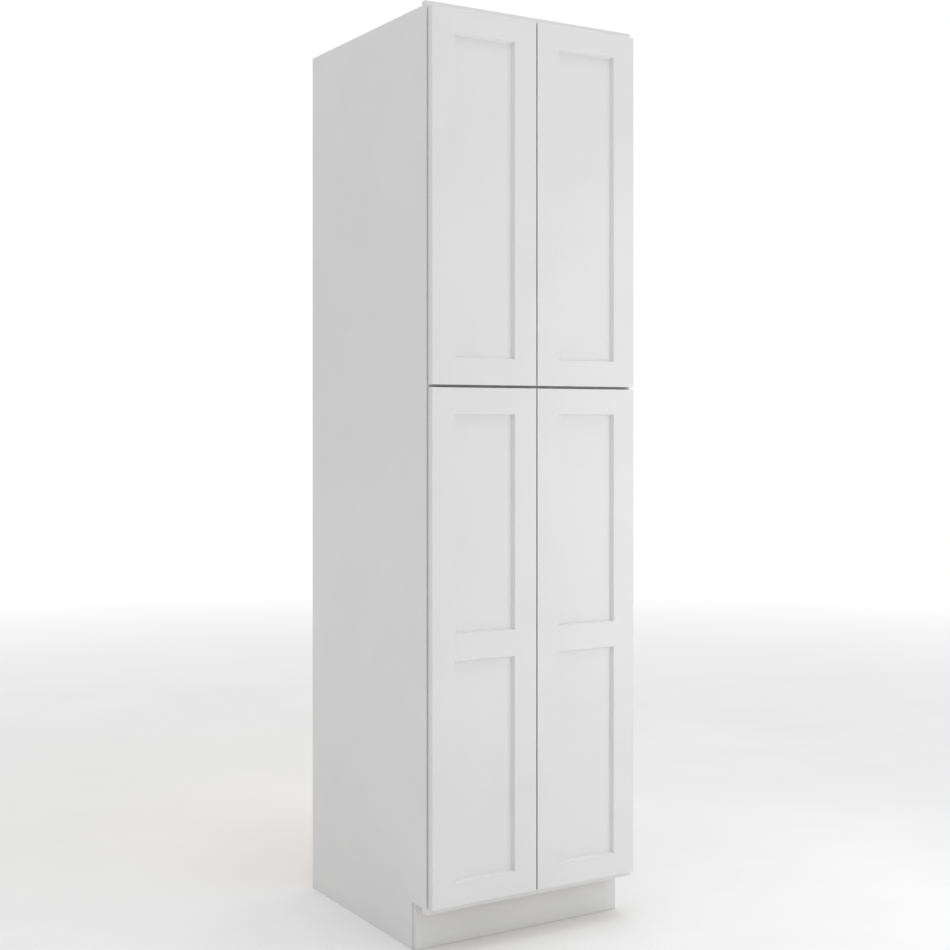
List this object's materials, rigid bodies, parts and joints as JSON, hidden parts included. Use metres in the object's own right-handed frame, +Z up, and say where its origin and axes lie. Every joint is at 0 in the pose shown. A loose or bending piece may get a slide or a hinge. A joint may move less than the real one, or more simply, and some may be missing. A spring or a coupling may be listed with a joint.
{
  "type": "pantry cabinet",
  "caption": "Tall framed pantry cabinet with paired upper and lower recessed-panel doors on concealed hinges, shelves inside and a toe space below.",
  "frame": {"origin": "on the floor, at the middle of the width and of the depth measured over the closed doors", "axes": "+Z up; the doors face -Y; +X to the right of someone facing the doors"},
  "size_m": [0.6096, 0.6502, 2.286],
  "materials": {
    "painted_wood": "satin white paint on wood",
    "birch_plywood": "clear-coated birch plywood",
    "block_wood": "bare pine",
    "hinge_steel": "nickel plated",
    "pin_steel": "nickel plated",
    "screw_steel": "zinc plated",
    "bumper": "clear soft polyurethane"
  },
  "bodies": {
    "case": {"back_panel": "birch_plywood", "fixed_shelf": "birch_plywood", "floor_panel": "birch_plywood", "frame_rail_bottom": "painted_wood", "frame_rail_middle": "painted_wood", "frame_rail_top": "painted_wood", "frame_stile_left": "painted_wood", "frame_stile_right": "painted_wood", "glue_blocks": "block_wood", "hanging_rail_lower": "birch_plywood", "hanging_rail_upper": "birch_plywood", "hinge_bases_left": "hinge_steel", "hinge_bases_right": "hinge_steel", "hinge_screws": "screw_steel", "shelf_lower_1": "birch_plywood", "shelf_lower_2": "birch_plywood", "shelf_pins": "pin_steel", "shelf_upper_1": "birch_plywood", "shelf_upper_2": "birch_plywood", "side_panel_left": "painted_wood", "side_panel_right": "painted_wood", "toe_board": "painted_wood", "top_panel": "birch_plywood"},
    "upper_left_door": {"upper_left_bumpers": "bumper", "upper_left_door_bottom_rail": "painted_wood", "upper_left_door_hinge_stile": "painted_wood", "upper_left_door_meeting_stile": "painted_wood", "upper_left_door_panel": "painted_wood", "upper_left_door_top_rail": "painted_wood", "upper_left_hinge_cups": "hinge_steel"},
    "upper_left_link": {"upper_left_hinge_links": "hinge_steel"},
    "upper_right_door": {"upper_right_bumpers": "bumper", "upper_right_door_bottom_rail": "painted_wood", "upper_right_door_hinge_stile": "painted_wood", "upper_right_door_meeting_stile": "painted_wood", "upper_right_door_panel": "painted_wood", "upper_right_door_top_rail": "painted_wood", "upper_right_hinge_cups": "hinge_steel"},
    "upper_right_link": {"upper_right_hinge_links": "hinge_steel"},
    "lower_left_door": {"lower_left_bumpers": "bumper", "lower_left_door_bottom_rail": "painted_wood", "lower_left_door_hinge_stile": "painted_wood", "lower_left_door_lower_panel": "painted_wood", "lower_left_door_meeting_stile": "painted_wood", "lower_left_door_middle_rail": "painted_wood", "lower_left_door_top_rail": "painted_wood", "lower_left_door_upper_panel": "painted_wood", "lower_left_hinge_cups": "hinge_steel"},
    "lower_left_link": {"lower_left_hinge_links": "hinge_steel"},
    "lower_right_door": {"lower_right_bumpers": "bumper", "lower_right_door_bottom_rail": "painted_wood", "lower_right_door_hinge_stile": "painted_wood", "lower_right_door_lower_panel": "painted_wood", "lower_right_door_meeting_stile": "painted_wood", "lower_right_door_middle_rail": "painted_wood", "lower_right_door_top_rail": "painted_wood", "lower_right_door_upper_panel": "painted_wood", "lower_right_hinge_cups": "hinge_steel"},
    "lower_right_link": {"lower_right_hinge_links": "hinge_steel"}
  },
  "joints": [
    {"name": "upper_left_door_hinge", "type": "hinge", "parent": "case", "child": "upper_left_door", "pos_m": [-0.293, -0.31805, 1.81924], "axis": [0, 0, -1], "range_deg": [0, 105]},
    {"name": "upper_left_link_pin", "type": "hinge", "parent": "case", "child": "upper_left_link", "pos_m": [-0.2653, -0.31155, 1.81924], "axis": [0, 0, 1], "range_deg": [0, 43.2]},
    {"name": "upper_right_door_hinge", "type": "hinge", "parent": "case", "child": "upper_right_door", "pos_m": [0.293, -0.31805, 1.81924], "axis": [0, 0, 1], "range_deg": [0, 105]},
    {"name": "upper_right_link_pin", "type": "hinge", "parent": "case", "child": "upper_right_link", "pos_m": [0.2653, -0.31155, 1.81924], "axis": [0, 0, -1], "range_deg": [0, 43.2]},
    {"name": "lower_left_door_hinge", "type": "hinge", "parent": "case", "child": "lower_left_door", "pos_m": [-0.293, -0.31805, 0.73976], "axis": [0, 0, -1], "range_deg": [0, 105]},
    {"name": "lower_left_link_pin", "type": "hinge", "parent": "case", "child": "lower_left_link", "pos_m": [-0.2653, -0.31155, 0.73976], "axis": [0, 0, 1], "range_deg": [0, 43.2]},
    {"name": "lower_right_door_hinge", "type": "hinge", "parent": "case", "child": "lower_right_door", "pos_m": [0.293, -0.31805, 0.73976], "axis": [0, 0, 1], "range_deg": [0, 105]},
    {"name": "lower_right_link_pin", "type": "hinge", "parent": "case", "child": "lower_right_link", "pos_m": [0.2653, -0.31155, 0.73976], "axis": [0, 0, -1], "range_deg": [0, 43.2]}
  ],
  "couplings": [
    {"joint": "upper_left_link_pin", "follows": "upper_left_door_hinge", "ratio": 0.41},
    {"joint": "upper_right_link_pin", "follows": "upper_right_door_hinge", "ratio": 0.41},
    {"joint": "lower_left_link_pin", "follows": "lower_left_door_hinge", "ratio": 0.41},
    {"joint": "lower_right_link_pin", "follows": "lower_right_door_hinge", "ratio": 0.41}
  ]
}
